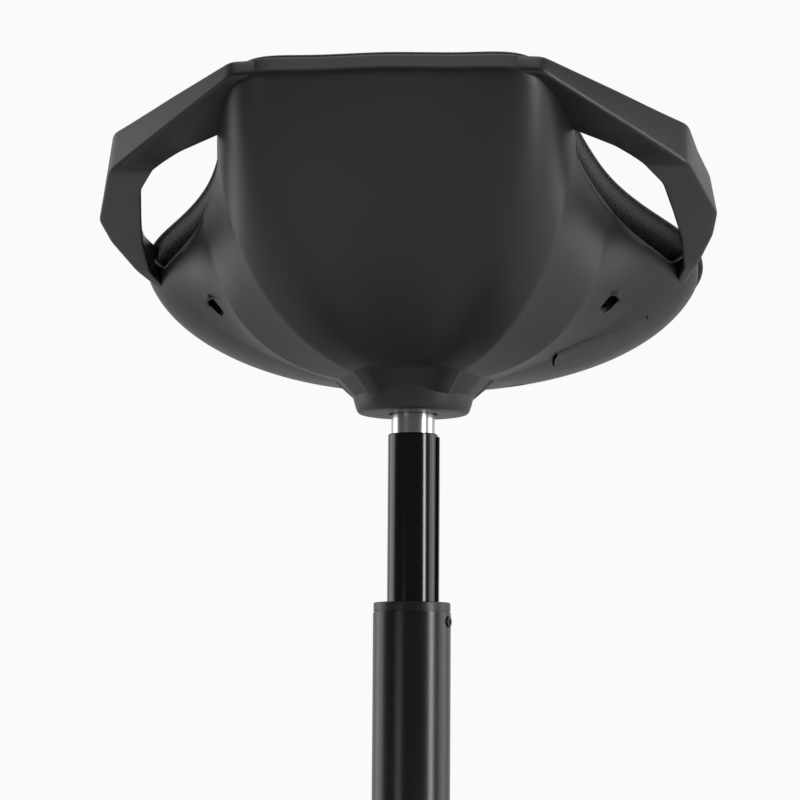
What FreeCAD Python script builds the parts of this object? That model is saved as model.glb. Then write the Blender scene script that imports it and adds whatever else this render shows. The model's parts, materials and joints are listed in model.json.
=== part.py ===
"""Wobble stool: tilted perching seat with two grips on a sprung, height-adjustable column.

Frame: millimetres, +Z up, +Y the way the sitter faces, +X to the sitter's right.
The origin is on the floor, on the axis of the column. Each sub-part is written
to parts/NODE.step at its place in the stool.
"""

import FreeCAD, Part
import math
import os

os.makedirs("parts", exist_ok=True)
Vector = FreeCAD.Vector

# Seat posture and hub
hub_bottom_height = 510.0
seat_tilt_deg = 21.8
rim_height = 127.5
hub_bottom_radius = 36.2
hub_top_radius = 42.0
hub_depth = 22.0
hub_floor = 4.0
hub_edge_round = 2.5
hub_overlap = 2.2
shell_wall = 4.0

# Outline of the seat body, measured in the plane of its rim
rear_reach = 189.0
rear_half_width = 95.0
waist_half_width = 119.0
hip_half_width = 183.0
front_reach = 178.0
rim_band = 12.0

# Grips: a thick wing on each side, with a finger hole
wing_thickness = 30.0
wing_corner_x = 180.0
wing_corner_v = -108.0
wing_half_width = 197.0
wing_widest_v = -50.0
wing_root_x = 182.5
wing_root_v = 40.0
wing_root_tuck = 9.0
wing_top_inset = 5.0
wing_corner_round = 12.0
hole_round = 9.0
hole_side_drop = 22.0
hole_outer_x = 180.0
hole_draft = 8.0
hole_front_v = 28.0
hole_rear_v = -109.0

# Cushion and the board that carries it
board_thickness = 8.0
board_top_drop = 20.0
board_gap = 1.0
cushion_edge_rise = 6.0
crown_height = 26.0
cushion_front_bulge = 5.5
cover_thickness = 1.6

# Screws
rear_screw = (127.0, 8.0, -50.0)
front_screw = (62.0, 96.0, -58.0)
screw_head_radius = 4.8
screw_head_height = 3.0
screw_radius = 2.4
screw_clearance = 0.1
counterbore_radius = 6.0
boss_radius = 8.0

# Gas spring
spring_tube_radius = 14.0
spring_tube_wall = 1.5
spring_taper_top_radius = 13.0
spring_taper_length = 52.0
hub_hole_radius = 15.9
sleeve_radius = 16.1
sleeve_top_gap = 13.0
sleeve_bottom_height = 216.0
key_width = 6.0
key_proud = 1.2
key_top_gap = 2.0
running_clearance = 0.08
slide_down_travel = 100.0
piston_rod_radius = 5.0
piston_height = 14.0
piston_level = 340.0
gland_height = 20.0
spring_below_sleeve = 2.0
spring_solid_length = 6.0
release_pin_radius = 4.0
release_pin_tip_radius = 2.4
release_pin_length = 32.0

# Stand tube
stand_radius = 25.0
stand_wall = 2.0
stand_top_height = 382.0
stand_bottom_height = 96.0
collar_radius = 24.7
collar_height = 5.6
collar_groove = 0.8
bushing_length = 72.0
collar_screw_height = 376.0
collar_screw_angle_deg = -15.0
collar_screw_head_radius = 3.75
collar_screw_proud = 1.1

# Height mechanism on its plate inside the hub
plate_level = 58.0
plate_thickness = 3.0
plate_half_width = 60.0
plate_rear_y = -38.0
plate_front_y = 58.0
plate_boss_inset = 10.0
plate_boss_radius = 6.0
socket_radius = 19.0
socket_bottom = 14.0
socket_top = 64.0
lever_heading_deg = 12.0
lever_pivot_reach = 36.0
lever_pivot_level = 70.0
lever_contact_level = 73.0
lever_half_width = 7.0
lever_thickness = 3.5
lever_reach = 116.0
lever_drop = 12.0
lever_pin_radius = 2.5
ear_gap = 0.5
ear_thickness = 3.0

# Paddle under the right front of the shell
paddle_x = 121.5
paddle_y = 12.0
paddle_turn_deg = 24.0
paddle_radius = 31.0
paddle_thickness = 3.0
paddle_proud = 1.5
paddle_gap = 1.2
paddle_notch_web = 3.0

# Tilting foot joint
pivot_height = 46.0
foot_neck_radius = 13.0
foot_eye_half_x = 13.0
foot_eye_half_y = 23.0
foot_eye_half_z = 12.0
gimbal_outer_radius = 40.0
gimbal_inner_radius = 29.0
gimbal_height = 16.0
pivot_pin_radius = 5.0
dome_radius = 63.0
housing_inner_radius = 44.0
cap_gap = 0.5
cap_wall = 3.2
cap_skirt_angle_deg = 78.0
cap_neck_wall = 3.4
cap_neck_top = 118.0
buffer_radius = 27.0
buffer_bore_radius = 9.0

# Weighted base
base_radius = 190.0
base_edge_height = 15.0
cover_top_height = 36.0
cover_opening_radius = 64.5
cover_wall = 3.0
weight_radius = 172.0
weight_thickness = 15.0
ring_height = 4.0
ring_width = 28.0
base_bolt_circle = 51.0
base_bolt_radius = 4.0
base_bolt_head_radius = 6.5
base_bolt_head_height = 6.0
base_bolt_depth = 20.0

tilt = math.radians(seat_tilt_deg)
collar_top_height = stand_top_height + collar_groove + collar_height
stand_bore = stand_radius - stand_wall
hub = hub_bottom_height
sleeve_top_height = hub - sleeve_top_gap
spring_bottom_height = sleeve_bottom_height - spring_below_sleeve
spring_top_height = hub + socket_top + 2.0
plate_top = hub + plate_level + plate_thickness
weight_top = ring_height + weight_thickness
board_bottom_drop = board_top_drop + board_thickness


def save(name, shape):
    """Write one sub-part to its STEP file."""
    shape.exportStep("parts/" + name + ".step")
    print(name, len(shape.Solids), "solids", round(shape.Volume / 1000.0, 2), "cm3", shape.isValid())


def cylinder(radius, bottom, top, x=0.0, y=0.0):
    """Upright round bar."""
    return Part.makeCylinder(radius, top - bottom, Vector(x, y, bottom))


def tube(outer, inner, bottom, top):
    """Upright round tube on the column axis."""
    return cylinder(outer, bottom, top).cut(cylinder(inner, bottom - 1.0, top + 1.0))


def turned(points):
    """Solid of revolution about the column axis from (radius, height) corners."""
    corners = [Vector(r, 0.0, z) for r, z in points]
    corners.append(corners[0])
    return Part.Face(Part.makePolygon(corners)).revolve(Vector(0, 0, 0), Vector(0, 0, 1), 360)


def on_rim(x, v, w):
    """Point given across, along and square to the rim plane, in the stool frame."""
    y = v * math.cos(tilt) + w * math.sin(tilt)
    z = hub_bottom_height + rim_height - v * math.sin(tilt) + w * math.cos(tilt)
    return Vector(x, y, z)


def rim_normal():
    """Unit vector square to the rim plane, upwards."""
    return Vector(0.0, math.sin(tilt), math.cos(tilt))


def body_outline():
    """Right half of the body's outline, from the middle of the rear to the middle of the front."""
    rear = rear_half_width
    waist = waist_half_width
    hip = hip_half_width
    return [
        (0.0, -rear_reach),
        (rear - 46.0, -rear_reach + 1.5),
        (rear - 9.0, -rear_reach + 6.5),
        (rear + 7.0, -rear_reach + 30.0),
        (waist - 7.0, -114.0),
        (waist + 2.0, -78.0),
        (waist + 15.0, -42.0),
        (hip - 27.0, -6.0),
        (hip - 5.0, 28.0),
        (hip, 60.0),
        (hip - 12.0, 98.0),
        (hip - 46.0, front_reach - 39.0),
        (hip - 95.0, front_reach - 12.0),
        (0.0, front_reach),
    ]


def inset_outline(points, inset):
    """Move each point of a half outline inwards by the inset, square to its neighbours."""
    moved = []
    last = len(points) - 1
    for i, (x, v) in enumerate(points):
        before = points[i - 1] if i > 0 else (-points[1][0], points[1][1])
        after = points[i + 1] if i < last else (-points[last - 1][0], points[last - 1][1])
        run_x = after[0] - before[0]
        run_v = after[1] - before[1]
        length = math.hypot(run_x, run_v)
        moved.append((x - inset * run_v / length, v + inset * run_x / length))
    return moved


def mirrored_curve(half):
    """Smooth closed wire through the points of its right half and their mirror image."""
    right = Part.BSplineCurve()
    right.interpolate(Points=half, InitialTangent=Vector(1, 0, 0), FinalTangent=Vector(-1, 0, 0))
    other = [Vector(-p.x, p.y, p.z) for p in reversed(half)]
    left = Part.BSplineCurve()
    left.interpolate(Points=other, InitialTangent=Vector(-1, 0, 0), FinalTangent=Vector(1, 0, 0))
    return Part.Wire([right.toShape(), left.toShape()])


def profile_shares(heading):
    """Bezier shares of the body's profile for a heading, which is -1 at the rear and 1 at the front."""
    keys = (
        (-1.0, (0.36, 0.20, 0.76, 0.55)),
        (-0.75, (0.49, 0.08, 0.96, 0.38)),
        (-0.4, (0.54, 0.04, 0.99, 0.28)),
        (0.05, (0.42, 0.14, 0.88, 0.50)),
        (1.0, (0.35, 0.06, 0.85, 0.42)),
    )
    for (low, first), (high, second) in zip(keys, keys[1:]):
        if heading <= high:
            break
    weight = (heading - low) / (high - low)
    return [first[i] * (1.0 - weight) + second[i] * weight for i in range(4)]


def body_section(share, inset):
    """Closed wire round the body, at a share of the way from the hub to the rim band."""
    vectors = []
    for x, v in inset_outline(body_outline(), inset):
        end = on_rim(x, v, -rim_band)
        end = end + Vector(0, 0, inset * 0.4)
        reach = math.hypot(end.x, end.y)
        start_radius = hub_top_radius - hub_overlap - inset
        start = Vector(start_radius * end.x / reach, start_radius * end.y / reach, 0.0)
        start.z = hub_bottom_height + hub_depth - hub_overlap + inset * 0.9
        out_1, up_1, out_2, up_2 = profile_shares(end.y / reach)
        a = (1.0 - share) ** 3
        b = 3.0 * share * (1.0 - share) ** 2
        c = 3.0 * share ** 2 * (1.0 - share)
        d = share ** 3
        out = b * out_1 + c * out_2 + d
        up = b * up_1 + c * up_2 + d
        vectors.append(Vector(
            start.x + (end.x - start.x) * out,
            start.y + (end.y - start.y) * out,
            start.z + (end.z - start.z) * up))
    return mirrored_curve(vectors)


def body_solid(inset):
    """Bowl of the seat body, from the top of the hub to the lower edge of the rim band."""
    shares = (0.0, 0.14, 0.3, 0.48, 0.66, 0.83, 1.0)
    return Part.makeLoft([body_section(share, inset) for share in shares], True, False)


def rim_prism(wire, low, high):
    """Solid between two heights over the rim plane, from a wire drawn at height 0."""
    base = wire.copy()
    base.translate(rim_normal() * low)
    return Part.Face(base).extrude(rim_normal() * (high - low))


def rim_wire(outline):
    """Smooth closed wire in the rim plane."""
    return mirrored_curve([on_rim(x, v, 0.0) for x, v in outline])


def rounded_polygon(corners):
    """Closed wire in the rim plane through (x, v, radius) corners, each rounded by its radius."""
    count = len(corners)
    edges = []
    ends = []
    for i in range(count):
        x, v, radius = corners[i]
        here = Vector(x, v, 0.0)
        back = Vector(corners[i - 1][0], corners[i - 1][1], 0.0) - here
        ahead = Vector(corners[(i + 1) % count][0], corners[(i + 1) % count][1], 0.0) - here
        back.normalize()
        ahead.normalize()
        half_angle = back.getAngle(ahead) / 2.0
        setback = radius / math.tan(half_angle)
        middle = back + ahead
        middle.normalize()
        centre = here + middle * (radius / math.sin(half_angle))
        ends.append((here + back * setback, centre - middle * radius, here + ahead * setback))
    for i in range(count):
        first, mid, last = [on_rim(p.x, p.y, 0.0) for p in ends[i]]
        following = on_rim(ends[(i + 1) % count][0].x, ends[(i + 1) % count][0].y, 0.0)
        edges.append(Part.Arc(first, mid, last).toShape())
        edges.append(Part.LineSegment(last, following).toShape())
    return Part.Wire(edges)


def wing_wire(side, inset, root_inset, w):
    """Outline of one grip wing at a height over the rim plane, its inner part buried in the body."""
    r = wing_corner_round
    corners = [
        (rear_half_width - 22.0, -rear_reach + 12.0, 4.0),
        (rear_half_width, -rear_reach + 5.0, 1.6 * r),
        (wing_corner_x, wing_corner_v, r),
        (wing_half_width - inset, wing_widest_v, 2.0 * r),
        (wing_half_width - 3.0 - inset, wing_widest_v + 26.0, 0.5 * r),
        (wing_root_x - root_inset, wing_root_v, 6.0),
        (hip_half_width - 40.0, wing_root_v + 20.0, 4.0),
        (waist_half_width - 25.0, wing_root_v + 20.0, 4.0),
        (rear_half_width - 22.0, -rear_reach + 60.0, 4.0),
    ]
    wire = rounded_polygon([(side * x, v, radius) for x, v, radius in corners])
    wire.translate(rim_normal() * w)
    return wire


def wing_relief(side):
    """Wedge that thins the wing's underside towards the rear corner, where it meets the rim band."""
    run_x = wing_corner_x - rear_half_width
    run_v = wing_corner_v + rear_reach
    length = math.hypot(run_x, run_v)
    along_x = run_x / length
    along_v = run_v / length
    slope = (wing_thickness - rim_band) / length
    behind = 60.0
    across = 150.0
    corners = []
    for s, w in ((-behind, -rim_band + slope * behind), (length, -wing_thickness), (length, -90.0), (-behind, -90.0)):
        x = rear_half_width + s * along_x + across * along_v
        v = -rear_reach + s * along_v - across * along_x
        corners.append(on_rim(side * x, v, w))
    corners.append(corners[0])
    far = on_rim(-side * 2.0 * across * along_v, 2.0 * across * along_x, 0.0) - on_rim(0.0, 0.0, 0.0)
    return Part.Face(Part.makePolygon(corners)).extrude(far)


def hole_wire(side, grow, w):
    """Outline of one finger hole at a height over the rim plane: rear, grip side, front and body side."""
    r = hole_round
    corners = [
        (waist_half_width - 20.0, hole_rear_v - 17.0, 2.0),
        (waist_half_width - 3.0, hole_rear_v - 11.0, 2.0),
        (hole_outer_x - 23.0 + grow, hole_rear_v - 1.0, r),
        (hole_outer_x - 10.0 + grow, hole_rear_v + 23.0, r),
        (hole_outer_x + 4.0 + grow, hole_front_v - 28.0, r),
        (hole_outer_x + grow, hole_front_v, r),
        (hole_outer_x - 22.0, hole_front_v + 10.0, 2.0),
        (waist_half_width - 20.0, hole_rear_v + 50.0, 4.0),
    ]
    wire = rounded_polygon([(side * x, v, radius) for x, v, radius in corners])
    wire.translate(rim_normal() * w)
    return wire


def hole_cutter(side):
    """Finger hole right through a wing, widening upwards on the grip's side."""
    low = -wing_thickness - 40.0
    narrow = hole_draft * low / wing_thickness
    return Part.makeLoft([hole_wire(side, narrow, low), hole_wire(side, hole_draft, wing_thickness)], True, True)


def rim_cylinder(radius, x, v, low, high):
    """Round bar square to the rim plane, between two heights over it."""
    return Part.makeCylinder(radius, high - low, on_rim(x, v, low), rim_normal())


def rim_slab(low, high):
    """Slab between two heights over the rim plane, wider than the seat."""
    reach = 2.0 * base_radius
    corners = [on_rim(-reach, -reach, low), on_rim(reach, -reach, low), on_rim(reach, reach, low), on_rim(-reach, reach, low)]
    return Part.Face(Part.makePolygon(corners + corners[:1])).extrude(rim_normal() * (high - low))


def compound(shapes):
    """Separate solids of one node."""
    return Part.makeCompound(shapes)


def board_screw_places():
    """Across, along and seat height of the four screws that hold the board in the shell."""
    return [(side * x, v, w) for x, v, w in (rear_screw, front_screw) for side in (-1.0, 1.0)]


def plate_screw_places():
    """Centres of the four plate screws."""
    x = plate_half_width - plate_boss_inset
    return [(side * x, y) for side in (-1.0, 1.0) for y in (plate_rear_y + plate_boss_inset, plate_front_y - plate_boss_inset)]


def paddle_prism(grow):
    """Upright half-moon column at the paddle, larger than it by the given gap."""
    disc = cylinder(paddle_radius + grow, hub - 20.0, hub + 160.0, paddle_x, paddle_y)
    size = 4.0 * paddle_radius
    behind = Part.makeBox(size, size, 400.0, Vector(paddle_x - size / 2.0, paddle_y - grow - size, hub - 100.0))
    behind.rotate(Vector(paddle_x, paddle_y, 0.0), Vector(0, 0, 1), paddle_turn_deg)
    return disc.cut(behind)


def shell_cavity(inset):
    """Hollow of the body, kept clear of the outside by the inset."""
    rim = mirrored_curve([on_rim(x, v, 0.0) for x, v in inset_outline(body_outline(), inset)])
    return body_solid(inset).fuse(rim_prism(rim, -rim_band - 2.0, 6.0))


def seat_shell(outer, cavity):
    """Moulded pan: bowl, hub, rim band, grips and screw bosses in one moulding."""
    cone = Part.makeCone(hub_bottom_radius, hub_top_radius, hub_depth, Vector(0, 0, hub))
    foot_edges = [e for e in cone.Edges if abs(e.BoundBox.ZMax - hub) < 0.01]
    shell = outer.fuse(cone.makeFillet(hub_edge_round, foot_edges))
    slope = (hub_top_radius - hub_bottom_radius) / hub_depth
    low = hub_bottom_radius + slope * hub_floor - shell_wall
    high = low + slope * (hub_depth - hub_floor + 8.0)
    hollow = cavity.fuse(Part.makeCone(low, high, hub_depth - hub_floor + 8.0, Vector(0, 0, hub + hub_floor)))
    for side in (-1.0, 1.0):
        upper = wing_wire(side, wing_top_inset, 0.0, 0.0)
        lower = wing_wire(side, 0.0, wing_root_tuck, -wing_thickness)
        wing = Part.makeLoft([upper, lower], True, True).cut(hole_cutter(side))
        shell = shell.fuse(wing.cut(wing_relief(side)))
    shell = shell.cut(hollow)
    for side in (-1.0, 1.0):
        shell = shell.cut(hole_cutter(side).common(rim_slab(-hole_side_drop, 8.0)))
    for x, y in plate_screw_places():
        shell = shell.fuse(cylinder(plate_boss_radius, hub, hub + plate_level, x, y).common(outer))
    for x, v, w in board_screw_places():
        shell = shell.fuse(rim_cylinder(boss_radius, x, v, -120.0, -board_bottom_drop).common(outer))
        shell = shell.cut(rim_cylinder(counterbore_radius, x, v, -160.0, w))
        shell = shell.cut(rim_cylinder(screw_radius + screw_clearance, x, v, w - 1.0, 0.0))
    for x, y in plate_screw_places():
        shell = shell.cut(cylinder(screw_radius + screw_clearance, hub + plate_level - 14.0, hub + 90.0, x, y))
    shell = shell.cut(cylinder(hub_hole_radius, hub - 5.0, hub + 8.0))
    return shell.cut(paddle_prism(paddle_gap).cut(rim_slab(-board_bottom_drop, 60.0)))


def seat_board(cavity_clear):
    """Moulded board that closes the shell and carries the cushion."""
    board = cavity_clear.common(rim_slab(-board_bottom_drop, -board_top_drop))
    for x, v, w in board_screw_places():
        board = board.cut(rim_cylinder(screw_radius + screw_clearance, x, v, -60.0, 0.0))
    notch = paddle_prism(2.0 * paddle_gap).common(rim_slab(-60.0, -board_top_drop - paddle_notch_web))
    return board.cut(notch)


def front_bulge(x, v, bulge):
    """Move a point of the cushion's outline outwards, by the full bulge at the front and not at all at the rear."""
    weight = min(1.0, max(0.0, v / 90.0))
    reach = math.hypot(x, v) or 1.0
    return (x + bulge * weight * x / reach, v + bulge * weight * v / reach)


def cushion_crown(skin):
    """Part of the cushion over the rim, crowned and with rounded sides; skin draws every face inwards."""
    levels = (
        (0.0, shell_wall + board_gap, 0.0),
        (0.45, shell_wall - 0.5, cushion_front_bulge),
        (1.0, shell_wall + 5.0, cushion_front_bulge * 0.6),
    )
    wires = []
    for share, inset, bulge in levels:
        outline = inset_outline(body_outline(), inset + skin)
        outline = [front_bulge(x, v, bulge) for x, v in outline]
        level = share * (cushion_edge_rise - skin) + 2.0 * skin * share * (1.0 - share)
        wires.append(mirrored_curve([on_rim(x, v, level) for x, v in outline]))
    rise = crown_height - cushion_edge_rise
    for share, height in ((0.9, 0.5), (0.74, 0.85), (0.56, 1.0)):
        outline = inset_outline(body_outline(), shell_wall + 5.0 + skin)
        level = cushion_edge_rise + rise * height - skin
        wires.append(mirrored_curve([on_rim(x * share, v * share, level) for x, v in outline]))
    return Part.makeLoft(wires, True, False)


def cushion_foam(cavity_clear):
    """Foam block from the board up to the cover."""
    return cavity_clear.common(rim_slab(-board_top_drop, 0.0)).fuse(cushion_crown(cover_thickness))


def cushion_cover():
    """Woven cover over the foam's crown and sides."""
    return cushion_crown(0.0).cut(cushion_crown(cover_thickness))


def board_screws():
    """Four screws that pull the board down onto the shell's bosses."""
    screws = []
    for x, v, w in board_screw_places():
        head = rim_cylinder(screw_head_radius, x, v, w - screw_head_height, w)
        socket = rim_cylinder(screw_radius * 0.8, x, v, w - screw_head_height - 1.0, w - 1.0)
        shank = rim_cylinder(screw_radius, x, v, w, -board_top_drop - 1.0)
        screws.append(head.fuse(shank).cut(socket))
    return compound(screws)


def plate_screws():
    """Four screws that hold the mechanism plate on its bosses."""
    screws = []
    for x, y in plate_screw_places():
        head = cylinder(screw_head_radius, plate_top, plate_top + screw_head_height, x, y)
        shank = cylinder(screw_radius, hub + plate_level - 12.0, plate_top, x, y)
        screws.append(head.fuse(shank))
    return compound(screws)


def mechanism_plate():
    """Pressed steel plate that carries the taper socket and the lever."""
    depth = plate_front_y - plate_rear_y
    plate = Part.makeBox(2.0 * plate_half_width, depth, plate_thickness, Vector(-plate_half_width, plate_rear_y, hub + plate_level))
    uprights = [e for e in plate.Edges if abs(e.BoundBox.ZLength - plate_thickness) < 0.01]
    plate = plate.makeFillet(plate_boss_radius, uprights)
    for x, y in plate_screw_places():
        plate = plate.cut(cylinder(screw_radius + screw_clearance, hub, hub + 90.0, x, y))
    return plate.cut(cylinder(socket_radius, hub, hub + 90.0))


def taper_radius(height):
    """Radius of the gas spring's taper at a height over the hub's bottom."""
    share = (height - socket_bottom) / (spring_top_height - hub - socket_bottom)
    return spring_tube_radius - (spring_tube_radius - spring_taper_top_radius) * share


def taper_socket():
    """Steel cone that the gas spring wedges into."""
    body = cylinder(socket_radius, hub + socket_bottom, hub + socket_top)
    gap = 0.03
    bore = Part.makeCone(
        taper_radius(socket_bottom) + gap, taper_radius(socket_top) + gap, socket_top - socket_bottom,
        Vector(0, 0, hub + socket_bottom))
    return body.cut(bore)


def gas_spring_tube():
    """Pressure tube: ground steel, with a taper at its top and a bore for the piston."""
    straight = cylinder(spring_tube_radius, spring_bottom_height, hub + socket_bottom)
    length = spring_top_height - hub - socket_bottom
    taper = Part.makeCone(spring_tube_radius, spring_taper_top_radius, length, Vector(0, 0, hub + socket_bottom))
    body = straight.fuse(taper)
    body = body.cut(cylinder(spring_tube_radius - spring_tube_wall, spring_bottom_height - 1.0, hub - spring_solid_length))
    bore_bottom = hub + lever_contact_level - release_pin_length - 5.0
    return body.cut(cylinder(release_pin_radius + running_clearance, bore_bottom, spring_top_height + 1.0))


def guide_sleeve():
    """Black sleeve over the pressure tube, with a key that stops the seat turning in its guide."""
    ring = tube(sleeve_radius, spring_tube_radius + 0.03, sleeve_bottom_height, sleeve_top_height)
    rims = [e for e in ring.Edges if abs(e.BoundBox.ZMin - sleeve_top_height) < 0.01 and e.BoundBox.XMax > sleeve_radius - 0.1]
    ring = ring.makeFillet(1.0, rims)
    key_top = sleeve_top_height - key_top_gap
    start = sleeve_radius - 1.0
    key = Part.makeBox(
        key_proud + 1.0, key_width, key_top - sleeve_bottom_height,
        Vector(start, -key_width / 2.0, sleeve_bottom_height))
    return ring.fuse(key)


def guide_bushing():
    """Plastic guide in the stand tube, with the collar that shows above it."""
    bottom = stand_top_height - bushing_length
    body = cylinder(stand_bore - 0.05, bottom, stand_top_height)
    body = body.fuse(cylinder(collar_radius - 0.7, stand_top_height, stand_top_height + collar_groove))
    collar = cylinder(collar_radius, stand_top_height + collar_groove, collar_top_height)
    collar = collar.makeFillet(0.8, [e for e in collar.Edges if abs(e.BoundBox.ZMin - collar_top_height) < 0.01])
    body = body.fuse(collar).cut(cylinder(sleeve_radius + running_clearance, bottom - 1.0, collar_top_height + 1.0))
    slot = key_width + 2.0 * running_clearance
    body = body.cut(Part.makeBox(
        sleeve_radius + key_proud + running_clearance, slot, 2.0 * bushing_length,
        Vector(0, -slot / 2.0, bottom - 1.0)))
    return body.cut(collar_screw_shank(screw_clearance))


def collar_screw_direction():
    """Unit vector from the column axis to the collar screw."""
    angle = math.radians(collar_screw_angle_deg)
    return Vector(math.cos(angle), math.sin(angle), 0.0)


def collar_screw_bar(radius, start, end):
    """Round bar along the collar screw between two distances from the column axis."""
    heading = collar_screw_direction()
    place = heading * start + Vector(0, 0, collar_screw_height)
    return Part.makeCylinder(radius, end - start, place, heading)


def collar_screw_shank(grow):
    """Threaded part of the collar screw."""
    return collar_screw_bar(2.0 + grow, sleeve_radius + 2.6 - grow, stand_radius)


def collar_screw():
    """Button-head screw that holds the guide in the stand tube."""
    seat = stand_radius - 0.6
    head = collar_screw_bar(collar_screw_head_radius, seat, stand_radius + collar_screw_proud)
    crown = [e for e in head.Edges if e.CenterOfMass.dot(collar_screw_direction()) > stand_radius + 0.5 and e.Closed]
    head = head.makeFillet(0.8, crown[:1])
    return head.fuse(collar_screw_shank(0.0)).cut(collar_screw_bar(1.5, stand_radius, stand_radius + 3.0))


def stand_tube():
    """Outer tube of the column."""
    body = tube(stand_radius, stand_bore, stand_bottom_height, stand_top_height)
    body = body.cut(collar_screw_shank(screw_clearance))
    return body.cut(collar_screw_bar(collar_screw_head_radius + 0.1, stand_radius - 0.6, stand_radius + 5.0))


def column_foot():
    """Turned foot: plug in the stand tube, neck, and the eye that the roll pins go through."""
    plug_top = spring_bottom_height - slide_down_travel - 2.0
    body = cylinder(stand_bore - 0.05, stand_bottom_height, plug_top)
    body = body.fuse(cylinder(foot_neck_radius, pivot_height, stand_bottom_height))
    eye = Part.makeBox(
        2.0 * foot_eye_half_x, 2.0 * foot_eye_half_y, 2.0 * foot_eye_half_z,
        Vector(-foot_eye_half_x, -foot_eye_half_y, pivot_height - foot_eye_half_z))
    body = body.fuse(eye)
    for side in (-1.0, 1.0):
        body = body.cut(pin_along(Vector(0, side, 0), pivot_pin_radius + 0.03, gimbal_inner_radius - 14.0, 60.0))
    return body.cut(cylinder(piston_rod_radius + 0.05, stand_bottom_height + 4.0, plug_top + 1.0))


def pin_along(heading, radius, start, end):
    """Round bar at the pivot's height between two distances from the column axis."""
    return Part.makeCylinder(radius, end - start, heading * start + Vector(0, 0, pivot_height), heading)


def roll_pins():
    """Two pins that carry the column's foot in the gimbal ring."""
    return compound([pin_along(Vector(0, side, 0), pivot_pin_radius, gimbal_inner_radius - 14.0, gimbal_outer_radius) for side in (-1.0, 1.0)])


def pitch_pins():
    """Two pins that carry the gimbal ring in the housing."""
    return compound([pin_along(Vector(side, 0, 0), pivot_pin_radius, gimbal_inner_radius + 2.0, housing_inner_radius + 12.0) for side in (-1.0, 1.0)])


def gimbal_ring():
    """Ring between the two pairs of pins."""
    half = gimbal_height / 2.0
    ring = tube(gimbal_outer_radius, gimbal_inner_radius, pivot_height - half, pivot_height + half)
    for heading in (Vector(1, 0, 0), Vector(0, 1, 0)):
        ring = ring.cut(pin_along(heading, pivot_pin_radius + running_clearance, -60.0, 60.0))
    return ring


def base_bolt_places():
    """Centres of the four bolts that hold the housing on the weight."""
    turns = [math.radians(45.0 + 90.0 * k) for k in range(4)]
    return [(base_bolt_circle * math.cos(t), base_bolt_circle * math.sin(t)) for t in turns]


def pivot_housing():
    """Cup that holds the gimbal, domed outside about the pivot."""
    ball = Part.makeSphere(dome_radius, Vector(0, 0, pivot_height))
    top = pivot_height + math.sqrt(dome_radius ** 2 - (housing_inner_radius + 1.0) ** 2)
    body = ball.common(cylinder(2.0 * dome_radius, weight_top, top))
    body = body.cut(cylinder(housing_inner_radius, weight_top + 5.0, top + 1.0))
    body = body.cut(cylinder(buffer_bore_radius, 0.0, top))
    for side in (-1.0, 1.0):
        body = body.cut(pin_along(Vector(side, 0, 0), pivot_pin_radius + 0.03, 30.0, housing_inner_radius + 12.0))
    for x, y in base_bolt_places():
        body = body.cut(cylinder(base_bolt_radius + screw_clearance, 0.0, weight_top + base_bolt_depth, x, y))
    return body


def return_buffer():
    """Rubber block under the foot's eye, which pushes a leaning column upright again."""
    return tube(buffer_radius, buffer_bore_radius, weight_top + 5.0, pivot_height - foot_eye_half_z)


def pivot_cap():
    """Domed cap on the column that closes the housing's mouth at every lean."""
    inner = dome_radius + cap_gap
    outer = inner + cap_wall
    centre = Vector(0, 0, pivot_height)
    skirt = pivot_height + outer * math.cos(math.radians(cap_skirt_angle_deg))
    neck_radius = stand_radius + cap_neck_wall
    body = Part.makeSphere(outer, centre).common(cylinder(2.0 * outer, skirt, pivot_height + outer + 1.0))
    body = body.fuse(cylinder(neck_radius, pivot_height + inner - 12.0, cap_neck_top))
    body = body.cut(Part.makeSphere(inner, centre))
    return body.cut(cylinder(stand_radius + 0.05, 0.0, cap_neck_top + 1.0))


def base_weight():
    """Cast iron disc that keeps the stool upright."""
    body = cylinder(weight_radius, ring_height, weight_top)
    for x, y in base_bolt_places():
        body = body.cut(cylinder(base_bolt_radius + screw_clearance, 0.0, weight_top + 1.0, x, y))
        body = body.cut(cylinder(base_bolt_head_radius + 0.5, 0.0, ring_height + base_bolt_head_height + 1.0, x, y))
    return body


def base_bolts():
    """Four bolts from below the weight into the housing."""
    bolts = []
    head_bottom = ring_height + 1.0
    head_top = head_bottom + base_bolt_head_height
    for x, y in base_bolt_places():
        head = cylinder(base_bolt_head_radius, head_bottom, head_top, x, y)
        shank = cylinder(base_bolt_radius, head_top, weight_top + base_bolt_depth - 2.0, x, y)
        bolts.append(head.fuse(shank).cut(cylinder(base_bolt_radius * 0.8, 0.0, head_bottom + 3.0, x, y)))
    return compound(bolts)


def base_cover():
    """Low dished cover over the weight."""
    edge = ring_height
    shoulder = weight_top + 2.4
    return turned([
        (base_radius, edge), (base_radius, base_edge_height), (base_radius - 5.0, shoulder),
        (weight_radius + 1.0, shoulder + cover_wall), (cover_opening_radius + 6.0, cover_top_height),
        (cover_opening_radius, cover_top_height), (cover_opening_radius, cover_top_height - cover_wall),
        (cover_opening_radius + 6.0, cover_top_height - cover_wall), (weight_radius + 1.0, shoulder),
        (base_radius - cover_wall - 4.0, shoulder - 3.0), (base_radius - cover_wall, base_edge_height - 1.0),
        (base_radius - cover_wall, edge)])


def floor_ring():
    """Rubber ring that the stool stands on."""
    return tube(base_radius, base_radius - ring_width, 0.0, ring_height)


def piston_rod():
    """Steel rod of the gas spring, held in the foot."""
    return cylinder(piston_rod_radius, stand_bottom_height + 4.0, piston_level)


def piston():
    """Piston at the top of the rod, running in the pressure tube."""
    return cylinder(spring_tube_radius - spring_tube_wall - running_clearance, piston_level, piston_level + piston_height)


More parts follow.
